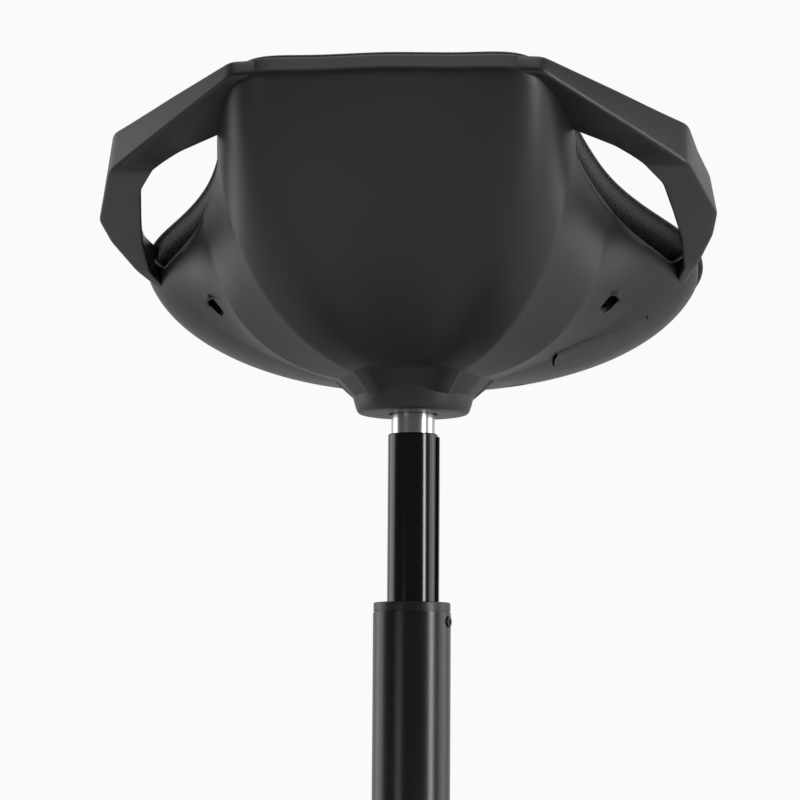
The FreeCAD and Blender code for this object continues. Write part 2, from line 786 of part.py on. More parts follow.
def rod_clip():
    """Spring clip that keeps the rod in the foot."""
    bottom = spring_bottom_height - slide_down_travel - 2.0
    return tube(9.0, piston_rod_radius + 0.05, bottom, bottom + 1.4)


def spring_gland():
    """Seal and guide at the mouth of the pressure tube."""
    return tube(spring_tube_radius - spring_tube_wall - 0.02, piston_rod_radius + running_clearance,
                spring_bottom_height + 0.5, spring_bottom_height + gland_height)


def lever_direction():
    """Unit vector from the column axis towards the paddle."""
    angle = math.radians(lever_heading_deg)
    return Vector(math.cos(angle), math.sin(angle), 0.0)


def lever_place(reach, across, level):
    """Point given along and across the lever and over the hub's bottom."""
    along = lever_direction()
    sideways = Vector(-along.y, along.x, 0.0)
    return along * reach + sideways * across + Vector(0, 0, hub + level)


def lever_cross_bar(radius, half_length):
    """Round bar across the lever at its pivot."""
    start = lever_place(lever_pivot_reach, -half_length, lever_pivot_level)
    heading = lever_place(0.0, 1.0, 0.0) - lever_place(0.0, 0.0, 0.0)
    return Part.makeCylinder(radius, 2.0 * half_length, start, heading)


def lever_arm():
    """Pressed steel arm from the release pin, over its pivot, to the paddle."""
    low = lever_contact_level
    high = low + lever_thickness
    end = low - lever_drop
    bend = lever_pivot_reach + 22.0
    profile = [
        (-6.0, low), (lever_pivot_reach, low), (bend, low - 4.0), (lever_reach, end - lever_thickness),
        (lever_reach, end), (bend, high - 4.0), (lever_pivot_reach + 4.0, high), (-6.0, high)]
    corners = [lever_place(reach, -lever_half_width, level) for reach, level in profile]
    across = lever_place(0.0, 2.0 * lever_half_width, 0.0) - lever_place(0.0, 0.0, 0.0)
    arm = Part.Face(Part.makePolygon(corners + corners[:1])).extrude(across)
    arm = arm.fuse(lever_cross_bar(lever_pin_radius + 3.0, lever_half_width))
    return arm.cut(lever_cross_bar(lever_pin_radius + running_clearance, lever_half_width + 1.0))


def lever_bracket():
    """Two ears on the plate that hold the lever's pin."""
    ears = []
    for side in (-1.0, 1.0):
        inner = side * (lever_half_width + ear_gap)
        outer = side * (lever_half_width + ear_gap + ear_thickness)
        reach = lever_pin_radius + 4.5
        profile = [(lever_pivot_reach - reach, inner), (lever_pivot_reach + reach, inner),
                   (lever_pivot_reach + reach, outer), (lever_pivot_reach - reach, outer)]
        level = plate_level + plate_thickness
        corners = [lever_place(a, b, level) for a, b in profile]
        ears.append(Part.Face(Part.makePolygon(corners + corners[:1])).extrude(Vector(0, 0, 15.0)))
    return compound([ear.cut(lever_cross_bar(lever_pin_radius + 0.03, 30.0)) for ear in ears])


def lever_pin():
    """Pin that the lever turns on."""
    return lever_cross_bar(lever_pin_radius, lever_half_width + ear_gap + ear_thickness + 1.0)


def height_paddle(outer):
    """Half-moon paddle, curved like the shell round it, with a post up to the lever."""
    proud = outer.copy()
    proud.translate(Vector(0, 0, -paddle_proud))
    inside = outer.copy()
    inside.translate(Vector(0, 0, paddle_thickness - paddle_proud))
    blade = paddle_prism(0.0).common(proud).cut(inside)
    blade = max(blade.Solids, key=lambda solid: -solid.CenterOfMass.z)
    place = lever_place(lever_reach - 7.0, 0.0, 0.0)
    arm_bottom = hub + lever_contact_level - lever_drop - lever_thickness
    post = cylinder(4.5, hub + 20.0, arm_bottom + 0.2, place.x, place.y).common(inside)
    return blade.fuse(post)


def release_pin():
    """Pin that opens the gas spring's valve."""
    top = hub + lever_contact_level
    body = cylinder(release_pin_radius, top - release_pin_length, top - 3.0)
    return body.fuse(Part.makeCone(release_pin_radius, release_pin_tip_radius, 3.0, Vector(0, 0, top - 3.0)))


def main():
    """Build every sub-part and write it."""
    outer = body_solid(0.0).fuse(rim_prism(rim_wire(body_outline()), -rim_band, 0.0))
    clear = shell_cavity(shell_wall + board_gap)
    shell = seat_shell(outer, shell_cavity(shell_wall))
    save("seat_shell", shell)
    save("seat_board", seat_board(clear))
    save("cushion_foam", cushion_foam(clear))
    save("cushion_cover", cushion_cover())
    save("board_screws", board_screws())
    save("plate_screws", plate_screws())
    save("mechanism_plate", mechanism_plate())
    save("taper_socket", taper_socket())
    save("gas_spring_tube", gas_spring_tube())
    save("guide_sleeve", guide_sleeve())
    save("spring_gland", spring_gland())
    save("lever_bracket", lever_bracket())
    save("lever_pin", lever_pin())
    save("lever_arm", lever_arm())
    save("height_paddle", height_paddle(outer))
    save("release_pin", release_pin())
    save("guide_bushing", guide_bushing())
    save("collar_screw", collar_screw())
    save("stand_tube", stand_tube())
    save("column_foot", column_foot())
    save("piston_rod", piston_rod())
    save("piston", piston())
    save("rod_clip", rod_clip())
    save("pivot_cap", pivot_cap())
    save("roll_pins", roll_pins())
    save("gimbal_ring", gimbal_ring())
    save("pitch_pins", pitch_pins())
    save("pivot_housing", pivot_housing())
    save("return_buffer", return_buffer())
    save("base_bolts", base_bolts())
    save("base_weight", base_weight())
    save("base_cover", base_cover())
    save("floor_ring", floor_ring())


main()
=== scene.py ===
"""Looks of the wobble stool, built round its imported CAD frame.

The frame gives every rigid piece in metres, +Z up, +Y the way the sitter faces. This script
gives each piece its finish, models the moulded seat shell and the fabric cushion, and sets a
plain pale studio with the camera behind and below the seat.
"""

import json
import logging
import math
from dataclasses import dataclass, field
from enum import Enum

import bmesh
import bpy
import numpy as np
from mathutils import Matrix, Vector

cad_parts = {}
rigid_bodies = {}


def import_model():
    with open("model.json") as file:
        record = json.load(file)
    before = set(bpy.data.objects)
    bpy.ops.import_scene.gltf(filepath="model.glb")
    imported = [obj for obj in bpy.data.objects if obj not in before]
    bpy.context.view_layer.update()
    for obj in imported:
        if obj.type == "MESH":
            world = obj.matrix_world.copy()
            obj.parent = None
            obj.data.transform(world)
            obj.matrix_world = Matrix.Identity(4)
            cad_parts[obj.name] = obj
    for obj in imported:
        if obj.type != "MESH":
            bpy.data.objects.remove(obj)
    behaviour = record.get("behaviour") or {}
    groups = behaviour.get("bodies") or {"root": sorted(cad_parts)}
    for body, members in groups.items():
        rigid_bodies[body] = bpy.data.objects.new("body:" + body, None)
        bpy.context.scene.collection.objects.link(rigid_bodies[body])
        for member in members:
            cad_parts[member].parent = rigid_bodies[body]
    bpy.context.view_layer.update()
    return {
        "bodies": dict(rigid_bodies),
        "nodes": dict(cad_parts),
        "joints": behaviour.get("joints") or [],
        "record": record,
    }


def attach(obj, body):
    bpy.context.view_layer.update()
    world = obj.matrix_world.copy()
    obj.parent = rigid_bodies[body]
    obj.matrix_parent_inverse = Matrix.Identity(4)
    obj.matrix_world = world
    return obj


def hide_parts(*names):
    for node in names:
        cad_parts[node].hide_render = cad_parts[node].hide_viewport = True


log = logging.getLogger("wobble_stool")

MM = 0.001
# Slow cloudiness that every moulded, painted or plated face has, about 36 mm from cloud to cloud.
CLOUDS_PER_METRE = 28.0
SEAT_TILT = math.radians(21.8)
RIM_CENTRE_Z = 0.6375


def linear(code: str) -> tuple[float, float, float, float]:
    """Turn an sRGB hex colour into linear RGBA.

    Args:
        code: six hex digits, such as "1c1d1f".

    Returns:
        Linear red, green, blue and an alpha of 1.
    """
    parts = [int(code[i:i + 2], 16) / 255.0 for i in (0, 2, 4)]
    red, green, blue = [c / 12.92 if c <= 0.04045 else ((c + 0.055) / 1.055) ** 2.4 for c in parts]
    return red, green, blue, 1.0


def add_node(
        tree: bpy.types.NodeTree, kind: str, links: dict | None = None, **settings: object) -> bpy.types.Node:
    """Add one node with its settings and the links into it.

    Args:
        tree: node tree that the node is added to.
        kind: node type name, such as "ShaderNodeBump".
        links: input name or index to the output socket that feeds it.
        **settings: attributes of the node, or "inputs" with a dict of input values.

    Returns:
        The new node.
    """
    node = tree.nodes.new(kind)
    for name, value in settings.items():
        if name == "inputs":
            for key, number in value.items():
                node.inputs[key].default_value = number
        else:
            setattr(node, name, value)
    for key, socket in (links or {}).items():
        tree.links.new(socket, node.inputs[key])
    return node


class Grain(Enum):
    """How the surface of a finish was made."""

    SPARK_ERODED = "spark eroded mould"
    POLISHED_MOULD = "polished mould"
    POWDER = "powder coat"
    GROUND = "centreless ground"
    PRESSED = "pressed and plated"
    CAST = "sand cast"


@dataclass(frozen=True)
class Finish:
    """One rigid finish: its shader values, its grain size and how deep the grain is."""

    name: str
    colour: str
    roughness: float
    grain: Grain
    grain_mm: float
    depth_mm: float
    metallic: float = 0.0
    ior: float = 1.5
    coat: float = 0.0
    coat_roughness: float = 0.1
    mottle: float = 0.06

    def build(self) -> bpy.types.Material:
        """Make the material.

        Returns:
            A node material: base colour and roughness wander a little, and the grain is bump.
        """
        material = bpy.data.materials.new(self.name)
        material.use_nodes = True
        tree = material.node_tree
        tree.nodes.clear()
        place = add_node(tree, "ShaderNodeTexCoord").outputs["Object"]
        stretch = (0.02, 0.02, 1.0) if self.grain is Grain.GROUND else (1.0, 1.0, 1.0)
        mapped = add_node(tree, "ShaderNodeMapping", {"Vector": place}, inputs={"Scale": stretch})
        fine = add_node(
            tree, "ShaderNodeTexNoise", {"Vector": mapped.outputs["Vector"]},
            inputs={"Scale": 1.0 / (self.grain_mm * MM), "Detail": 2.0, "Roughness": 0.55})
        broad = add_node(
            tree, "ShaderNodeTexNoise", {"Vector": place},
            inputs={"Scale": CLOUDS_PER_METRE, "Detail": 3.0, "Roughness": 0.6})
        base = linear(self.colour)
        darker = tuple(c * (1.0 - self.mottle * 2.0) for c in base[:3]) + (1.0,)
        lighter = tuple(min(1.0, c * (1.0 + self.mottle * 2.0)) for c in base[:3]) + (1.0,)
        tint = add_node(tree, "ShaderNodeValToRGB", {"Fac": broad.outputs["Fac"]})
        tint.color_ramp.elements[0].position = 0.3
        tint.color_ramp.elements[0].color = darker
        tint.color_ramp.elements[1].position = 0.7
        tint.color_ramp.elements[1].color = lighter
        gloss = add_node(
            tree, "ShaderNodeMapRange", {"Value": broad.outputs["Fac"]},
            inputs={"From Min": 0.3, "From Max": 0.7,
                    "To Min": self.roughness * 0.93, "To Max": self.roughness * 1.07})
        bump = add_node(
            tree, "ShaderNodeBump", {"Height": fine.outputs["Fac"]},
            inputs={"Strength": 1.0, "Distance": self.depth_mm * MM})
        shader = add_node(
            tree, "ShaderNodeBsdfPrincipled",
            {"Base Color": tint.outputs["Color"], "Roughness": gloss.outputs["Result"],
             "Normal": bump.outputs["Normal"]},
            inputs={"Metallic": self.metallic, "IOR": self.ior, "Coat Weight": self.coat,
                    "Coat Roughness": self.coat_roughness})
        add_node(tree, "ShaderNodeOutputMaterial", {"Surface": shader.outputs["BSDF"]})
        return material


# Glass-filled nylon from a spark-eroded mould: near black, even, satin with a fine grain.
SHELL_NYLON = Finish("moulded_nylon_black", "131315", 0.42, Grain.SPARK_ERODED, 1.1, 0.018)
# The same nylon from a smoother tool: covers, which take a softer and wider highlight.
COVER_NYLON = Finish("moulded_cover_black", "1a1a1c", 0.5, Grain.SPARK_ERODED, 1.3, 0.02)
# Polypropylene board, never polished: dull grey black.
BOARD_PLASTIC = Finish("moulded_board_grey", "2c2c2e", 0.6, Grain.SPARK_ERODED, 1.6, 0.03)
# Acetal guide: slightly waxy, darker than the tube round it.
GUIDE_ACETAL = Finish("acetal_guide_black", "0f0f10", 0.36, Grain.POLISHED_MOULD, 2.2, 0.006)
# Hard gloss sleeve: a clean mirror with hardly any orange peel.
SLEEVE_GLOSS = Finish("gloss_sleeve_black", "08080a", 0.13, Grain.POLISHED_MOULD, 6.0, 0.003)
# Powder coat on steel tube: soft-edged highlight with a slight peel.
TUBE_POWDER = Finish("powder_coat_black", "0c0c0e", 0.27, Grain.POWDER, 1.8, 0.006)
# Ground and burnished steel: fine rings round the tube, bright and a little blurred.
GROUND_STEEL = Finish("ground_steel", "c9cacc", 0.2, Grain.GROUND, 0.35, 0.004, metallic=1.0, mottle=0.02)
# Zinc-plated pressings: pale, cloudy, softer than ground steel.
ZINC_PLATE = Finish("zinc_plated_steel", "a9adb2", 0.34, Grain.PRESSED, 2.6, 0.01, metallic=1.0, mottle=0.05)
# Black-oxide screws: dark steel with a little oil sheen.
OXIDE_STEEL = Finish("black_oxide_screw", "1b1b1d", 0.3, Grain.PRESSED, 0.8, 0.01, metallic=0.6)
# Painted grey iron: sand-cast skin under thin paint.
IRON_CASTING = Finish("painted_cast_iron", "202124", 0.58, Grain.CAST, 3.2, 0.15)
# Natural rubber with carbon black: matte, faintly brown.
FOOT_RUBBER = Finish("black_rubber", "161514", 0.78, Grain.SPARK_ERODED, 1.8, 0.04)


@dataclass(frozen=True)
class WovenFabric:
    """Black upholstery cloth: plain weave of thick polyester yarn, with a soft sheen, and painted shade in the
    low gaps between the threads.
    """

    name: str = "woven_polyester_black"
    yarn: str = "17171a"
    # Painted shade: colour of the low gaps between the threads, darker than the yarn.
    gap: str = "060607"
    # Real yarn is about 0.7 mm wide; it is drawn at 1.5 mm so that it shows at this distance.
    thread_mm: float = 1.5
    depth_mm: float = 0.25
    roughness: float = 0.85
    sheen: float = 0.35

    def build(self) -> bpy.types.Material:
        """Make the material from two crossed sets of threads in the piece's own UV map, in metres; the gaps
        between them are darkened as painted shade.

        Returns:
            The cloth material.
        """
        material = bpy.data.materials.new(self.name)
        material.use_nodes = True
        tree = material.node_tree
        tree.nodes.clear()
        flat = add_node(tree, "ShaderNodeUVMap", uv_map="cloth").outputs["UV"]
        split = add_node(tree, "ShaderNodeSeparateXYZ", {"Vector": flat})
        turn = math.pi / (self.thread_mm * MM)
        waves = []
        for axis in ("X", "Y"):
            scaled = add_node(tree, "ShaderNodeMath", {0: split.outputs[axis]}, operation="MULTIPLY")
            scaled.inputs[1].default_value = turn
            wave = add_node(tree, "ShaderNodeMath", {0: scaled.outputs[0]}, operation="SINE")
            waves.append(wave.outputs[0])
        over = add_node(tree, "ShaderNodeMath", {0: waves[0], 1: waves[1]}, operation="MULTIPLY").outputs[0]
        ridge_a = add_node(tree, "ShaderNodeMath", {0: waves[0]}, operation="ABSOLUTE").outputs[0]
        ridge_b = add_node(tree, "ShaderNodeMath", {0: waves[1]}, operation="ABSOLUTE").outputs[0]
        threads = add_node(tree, "ShaderNodeMath", {0: ridge_a, 1: ridge_b}, operation="MULTIPLY").outputs[0]
        fuzz = add_node(
            tree, "ShaderNodeTexNoise", {"Vector": flat},
            inputs={"Scale": 1.0 / (0.5 * MM), "Detail": 3.0, "Roughness": 0.7}).outputs["Fac"]
        lifted = add_node(tree, "ShaderNodeMath", {0: over, 1: fuzz}, operation="MULTIPLY_ADD")
        lifted.inputs[1].default_value = 0.25
        tree.links.new(over, lifted.inputs[0])
        tree.links.new(threads, lifted.inputs[2])
        height = add_node(tree, "ShaderNodeMath", {0: fuzz, 2: lifted.outputs[0]}, operation="MULTIPLY_ADD")
        height.inputs[1].default_value = 0.5
        # Colour follows the weave's height as painted shade: the low gaps between threads take the gap colour,
        # the raised yarn its own colour.
        shade = add_node(tree, "ShaderNodeValToRGB", {"Fac": height.outputs[0]})
        shade.color_ramp.elements[0].position = 0.15
        shade.color_ramp.elements[0].color = linear(self.gap)
        shade.color_ramp.elements[1].position = 0.75
        shade.color_ramp.elements[1].color = linear(self.yarn)
        bump = add_node(
            tree, "ShaderNodeBump", {"Height": height.outputs[0]},
            inputs={"Strength": 1.0, "Distance": self.depth_mm * MM})
        shader = add_node(
            tree, "ShaderNodeBsdfPrincipled",
            {"Base Color": shade.outputs["Color"], "Normal": bump.outputs["Normal"]},
            inputs={"Roughness": self.roughness, "Sheen Weight": self.sheen, "Sheen Roughness": 0.4})
        add_node(tree, "ShaderNodeOutputMaterial", {"Surface": shader.outputs["BSDF"]})
        return material


def on_rim(x: np.ndarray, v: np.ndarray, w: np.ndarray) -> np.ndarray:
    """Turn places across, along and square to the rim plane into the stool's frame.

    Args:
        x: metres to the sitter's right.
        v: metres along the rim plane, forwards.
        w: metres square to the rim plane, upwards.

    Returns:
        Points with a last axis of 3, in metres.
    """
    y = v * math.cos(SEAT_TILT) + w * math.sin(SEAT_TILT)
    z = RIM_CENTRE_Z - v * math.sin(SEAT_TILT) + w * math.cos(SEAT_TILT)
    return np.stack(np.broadcast_arrays(x, y, z), axis=-1)


def spline_through(points: np.ndarray, start: np.ndarray, end: np.ndarray, count: int) -> np.ndarray:
    """Carry a cubic spline through points, with its end directions given.

    Each coordinate is a piecewise cubic of the chord length whose first and second derivatives are
    continuous; the unknown slopes solve one tridiagonal system.

    Args:
        points: knots, one row each.
        start: unit direction at the first knot.
        end: unit direction at the last knot.
        count: how many points are returned, evenly spaced by chord length.

    Returns:
        Points on the curve.
    """
    steps = np.linalg.norm(np.diff(points, axis=0), axis=1)
    knots = np.concatenate([[0.0], np.cumsum(steps)])
    number = len(points)
    system = np.zeros((number, number))
    right = np.zeros((number, points.shape[1]))
    system[0, 0] = system[-1, -1] = 1.0
    right[0] = start
    right[-1] = end
    inner = np.arange(1, number - 1)
    before, after = steps[inner - 1], steps[inner]
    system[inner, inner - 1] = after
    system[inner, inner] = 2.0 * (before + after)
    system[inner, inner + 1] = before
    rise = np.diff(points, axis=0) / steps[:, None]
    right[inner] = 3.0 * (after[:, None] * rise[inner - 1] + before[:, None] * rise[inner])
    slopes = np.linalg.solve(system, right)
    places = np.linspace(0.0, knots[-1], count)
    piece = np.clip(np.searchsorted(knots, places, side="right") - 1, 0, number - 2)
    t = ((places - knots[piece]) / steps[piece])[:, None]
    step = steps[piece][:, None]
    return (
        (2 * t ** 3 - 3 * t ** 2 + 1) * points[piece] + (t ** 3 - 2 * t ** 2 + t) * step * slopes[piece]
        + (-2 * t ** 3 + 3 * t ** 2) * points[piece + 1] + (t ** 3 - t ** 2) * step * slopes[piece + 1])


def grid_mesh(
        name: str, points: np.ndarray, uv: np.ndarray | None = None,
        cap_ends: bool = True) -> bpy.types.Object:
    """Put a grid of points, closed round its second direction, into a mesh object.

    Faces join neighbours of the grid; each open end is closed by a fan to the middle of its ring.

    Args:
        name: name of the object and its mesh.
        points: rings by places by 3, in metres; a ring runs anticlockwise seen from its outer side's top.
        uv: rings by places by 2, or None.
        cap_ends: whether both end rings are closed.

    Returns:
        The linked object.
    """
    rings, places = points.shape[:2]
    index = np.arange(rings * places).reshape(rings, places)
    ahead = np.roll(index, -1, axis=1)
    quads = np.stack([index[:-1], ahead[:-1], ahead[1:], index[1:]], axis=-1).reshape(-1, 4)
    vertices = points.reshape(-1, 3)
    faces = quads.tolist()
    if cap_ends:
        middles = np.stack([points[0].mean(axis=0), points[-1].mean(axis=0)])
        first, last = len(vertices), len(vertices) + 1
        vertices = np.concatenate([vertices, middles])
        faces += np.stack([ahead[0], index[0], np.full(places, first)], axis=-1).tolist()
        faces += np.stack([index[-1], ahead[-1], np.full(places, last)], axis=-1).tolist()
    mesh = bpy.data.meshes.new(name)
    mesh.from_pydata(vertices.tolist(), [], faces)
    if uv is not None:
        flat = uv.reshape(-1, 2)
        if cap_ends:
            flat = np.concatenate([flat, uv[0].mean(axis=0)[None], uv[-1].mean(axis=0)[None]])
        corners = np.zeros(len(mesh.loops), np.int32)
        mesh.loops.foreach_get("vertex_index", corners)
        layer = mesh.uv_layers.new(name="cloth")
        layer.data.foreach_set("uv", flat[corners].astype(np.float32).ravel())
    mesh.polygons.foreach_set("use_smooth", np.ones(len(mesh.polygons), bool))
    mesh.update()
    piece = bpy.data.objects.new(name, mesh)
    bpy.context.scene.collection.objects.link(piece)
    return piece


def bake_modifiers(piece: bpy.types.Object) -> None:
    """Replace an object's mesh by what its modifiers give, and remove them.

    Args:
        piece: object with modifiers.
    """
    bpy.context.view_layer.update()
    graph = bpy.context.evaluated_depsgraph_get()
    mesh = bpy.data.meshes.new_from_object(piece.evaluated_get(graph))
    piece.modifiers.clear()
    piece.data = mesh


def settle_on_limit(mesh: bpy.types.Mesh) -> None:
    """Move the points of a closed mesh of quads to where endless subdivision would take them.

    A point where n edges meet goes to n * n times itself, plus 4 times the sum of its neighbours, plus
    the sum of the far corners of its faces, all over n * (n + 5).

    Args:
        mesh: closed mesh of quads, subdivided at least once.
    """
    points = np.zeros(len(mesh.vertices) * 3, np.float32)
    mesh.vertices.foreach_get("co", points)
    points = points.reshape(-1, 3).astype(float)
    edges = np.zeros(len(mesh.edges) * 2, np.int32)
    mesh.edges.foreach_get("vertices", edges)
    edges = edges.reshape(-1, 2)
    quads = np.zeros(len(mesh.loops), np.int32)
    mesh.loops.foreach_get("vertex_index", quads)
    quads = quads.reshape(-1, 4)
    near, far = np.zeros_like(points), np.zeros_like(points)
    np.add.at(near, edges, points[edges[:, ::-1]])
    np.add.at(far, quads, points[np.roll(quads, 2, axis=1)])
    count = np.bincount(edges.ravel(), minlength=len(points))[:, None]
    settled = (count ** 2 * points + 4.0 * near + far) / (count * (count + 5))
    mesh.vertices.foreach_set("co", settled.astype(np.float32).ravel())
    mesh.update()


@dataclass
class SeatOutline:
    """Outline of the seat body in its rim plane, in millimetres."""

    rear_reach: float = 189.0
    rear_half_width: float = 95.0
    waist_half_width: float = 119.0
    hip_half_width: float = 183.0
    front_reach: float = 178.0
    count: int = 160

    def half(self) -> np.ndarray:
        """Points of the right half, from the middle of the rear to the middle of the front."""
        rear, waist, hip = self.rear_half_width, self.waist_half_width, self.hip_half_width
        reach, front = self.rear_reach, self.front_reach
        return np.array([
            (0.0, -reach), (rear - 46.0, -reach + 1.5), (rear - 9.0, -reach + 6.5),
            (rear + 7.0, -reach + 30.0), (waist - 7.0, -114.0), (waist + 2.0, -78.0),
            (waist + 15.0, -42.0), (hip - 27.0, -6.0), (hip - 5.0, 28.0), (hip, 60.0),
            (hip - 12.0, 98.0), (hip - 46.0, front - 39.0),
            (hip - 95.0, front - 12.0), (0.0, front)])

    def ring(self) -> tuple[np.ndarray, np.ndarray]:
        """Closed outline with its outward normals.

        Returns:
            Points and unit normals in the rim plane, anticlockwise seen from above, in metres.
        """
        right = spline_through(self.half(), np.array([1.0, 0.0]), np.array([-1.0, 0.0]), self.count + 1)
        left = right[::-1] * np.array([-1.0, 1.0])
        closed = np.concatenate([right[:-1], left[:-1]]) * MM
        along = np.roll(closed, -1, axis=0) - np.roll(closed, 1, axis=0)
        along /= np.linalg.norm(along, axis=1, keepdims=True)
        return closed, np.stack([along[:, 1], -along[:, 0]], axis=1)


@dataclass
class Cushion:
    """Foam cushion in its woven cover, in millimetres over the rim plane."""

    outline: SeatOutline = field(default_factory=SeatOutline)
    wall_gap: float = 5.0
    bottom: float = -19.5
    crown: float = 26.0
    edge_rise: float = 6.0
    front_bulge: float = 6.0
    front_hang: float = 4.0
    crown_rings: int = 30
    body: str = "seat"
    slot: str = "black_fabric"

    def surface(self) -> tuple[np.ndarray, np.ndarray]:
        """Work out the cushion's skin.

        Each ring is the outline moved inwards by an inset and lifted by a height; the inset turns
        into an overhang towards the front, where the cushion laps over the shell's rim. Inside the
        edge the rings shrink towards the middle under a crown that falls off as a cosine.

        Returns:
            Grid of points in metres, and the same grid laid flat as UV in metres.
        """
        closed, normal = self.outline.ring()
        front = np.clip(closed[:, 1] / (90.0 * MM), 0.0, 1.0)
        front = front * front * (3.0 - 2.0 * front)
        bulge, hang = self.front_bulge * MM * front, self.front_hang * MM * front
        gap = self.wall_gap * MM
        rise = self.edge_rise * MM
        levels = [
            (gap, np.full_like(front, self.bottom * MM)),
            (gap, np.full_like(front, self.bottom * MM * 0.5)),
            (gap, np.full_like(front, -1.0 * MM)),
            (gap - 0.5 * MM, np.full_like(front, 0.6 * MM)),
            (gap - 1.2 * MM - 0.75 * bulge, 0.9 * MM - 0.3 * hang),
            (gap - 1.5 * MM - 1.35 * bulge, 1.4 * MM - hang),
            (gap - 1.6 * MM - 1.55 * bulge, 2.3 * MM - 0.75 * hang),
            (gap - 1.3 * MM - 1.5 * bulge, 3.4 * MM - 0.2 * hang),
            (gap + 0.4 * MM - 1.2 * bulge, np.full_like(front, rise - 1.3 * MM)),
            (gap + 3.6 * MM - 0.9 * bulge, np.full_like(front, rise)),
        ]
        rings = [closed - normal * np.broadcast_to(inset, front.shape)[:, None] for inset, _ in levels]
        heights = [height for _, height in levels]
        edge = rings[-1]
        for share in np.linspace(0.97, 0.0, self.crown_rings)[:-1]:
            rings.append(edge * share)
            fall = math.cos(0.5 * math.pi * share ** 1.6)
            heights.append(np.full_like(front, rise + (self.crown - self.edge_rise) * MM * fall))
        plane = np.stack(rings)
        level = np.stack(heights)
        points = on_rim(plane[..., 0], plane[..., 1], level)
        drop = np.concatenate([[np.zeros_like(front)], np.abs(np.diff(level, axis=0))]).cumsum(axis=0)
        spread = plane + (drop.max(axis=0) - drop)[..., None] * normal
        return points, spread

    def build(self, cloth: bpy.types.Material) -> bpy.types.Object:
        """Make the cushion, dress it and set it on its body.

        Args:
            cloth: material of the cover.

        Returns:
            The cushion's object.
        """
        points, spread = self.surface()
        piece = grid_mesh("seat_cushion", points, spread)
        piece.data.materials.append(cloth)
        smooth = piece.modifiers.new("smooth", "SUBSURF")
        smooth.levels = smooth.render_levels = 1
        # The middles of the top and underside join 320 faces each, over which the modifier's own limit
        # surface takes minutes, so the limit is worked out in settle_on_limit.
        smooth.use_limit_surface = False
        bake_modifiers(piece)
        settle_on_limit(piece.data)
        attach(piece, self.body)
        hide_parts("cushion_foam", "cushion_cover")
        log.info("seat_cushion: %d points", points.shape[0] * points.shape[1])
        return piece


def island(name: str, parts: list[tuple[np.ndarray, bool]]) -> bpy.types.Object:
    """Join several closed grids into one mesh object.

    Each grid is closed round its places. It is also closed along its rings, or capped by a fan at
    both ends. Normals are then turned outwards for each closed part.

    Args:
        name: name of the object and its mesh.
        parts: grids of rings by places by 3 in metres, each with True where its last ring meets its first.

    Returns:
        The linked object.
    """
    vertices, faces, start = [], [], 0
    for points, looped in parts:
        rings, places = points.shape[:2]
        index = np.arange(rings * places).reshape(rings, places) + start
        rows = np.concatenate([index, index[:1]]) if looped else index
        ahead = np.roll(rows, -1, axis=1)
        faces += np.stack([rows[:-1], ahead[:-1], ahead[1:], rows[1:]], axis=-1).reshape(-1, 4).tolist()
        vertices.append(points.reshape(-1, 3))
        start += rings * places
        if not looped:
            vertices.append(np.stack([points[0].mean(axis=0), points[-1].mean(axis=0)]))
            faces += np.stack([ahead[0], rows[0], np.full(places, start)], axis=-1).tolist()
            faces += np.stack([rows[-1], ahead[-1], np.full(places, start + 1)], axis=-1).tolist()
            start += 2
    mesh = bpy.data.meshes.new(name)
    mesh.from_pydata(np.concatenate(vertices).tolist(), [], faces)
    shape = bmesh.new()
    shape.from_mesh(mesh)
    bmesh.ops.recalc_face_normals(shape, faces=shape.faces)
    shape.to_mesh(mesh)
    shape.free()
    mesh.polygons.foreach_set("use_smooth", np.ones(len(mesh.polygons), bool))
    piece = bpy.data.objects.new(name, mesh)
    bpy.context.scene.collection.objects.link(piece)
    return piece


def smooth_step(value: np.ndarray, low: float, high: float) -> np.ndarray:
    """Rise from 0 at low to 1 at high along a cubic with level ends."""
    share = np.clip((value - low) / (high - low), 0.0, 1.0)
    return share * share * (3.0 - 2.0 * share)


